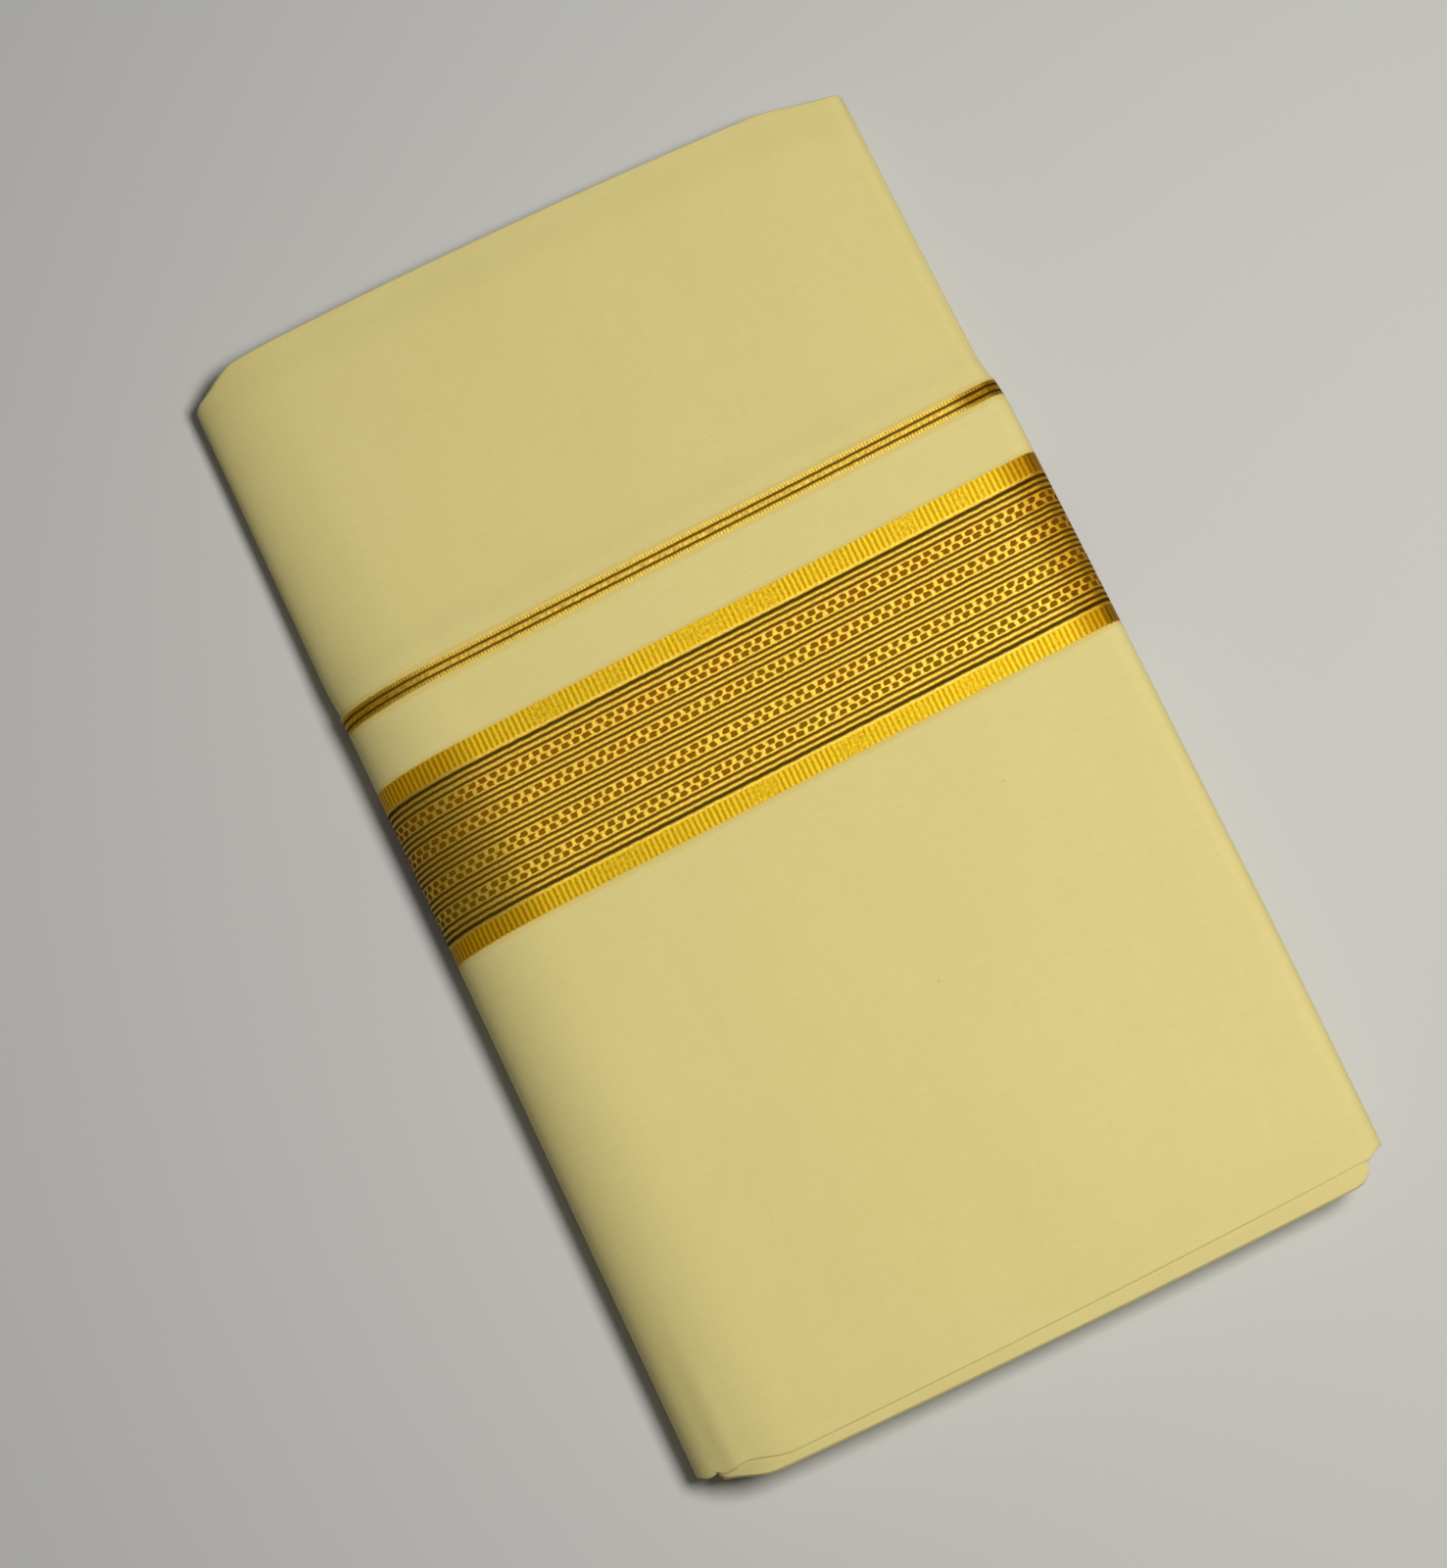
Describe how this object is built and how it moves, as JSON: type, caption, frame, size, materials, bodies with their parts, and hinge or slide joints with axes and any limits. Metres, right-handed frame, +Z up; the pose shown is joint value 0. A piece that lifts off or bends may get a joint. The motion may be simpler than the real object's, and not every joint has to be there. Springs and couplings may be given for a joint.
{
  "type": "folded dhoti cloth",
  "caption": "Flat-folded cream cotton dhoti: a thick soft pack with a rounded spine, a turned-up flap, a wide and a narrow gold woven border, and layered edges.",
  "frame": {"origin": "centre of the pack's underside, where it rests", "axes": "+Y along the pack from the turned-up bottom folds to the cloth's centre fold, +X from the rounded spine to the open side, +Z up through the layers"},
  "size_m": [0.226, 0.378, 0.0269],
  "materials": {
    "cotton": "soft matt plain-weave cotton in pale cream",
    "zari": "bright gold thread woven in ribs, with dark brown and olive lines and small squares"
  },
  "bodies": {
    "root": {"upper_cloth": "cotton", "narrow_border": "zari", "border_gap": "cotton", "wide_border": "zari", "lower_cloth": "cotton", "folded_layers": "cotton"}
  },
  "joints": []
}
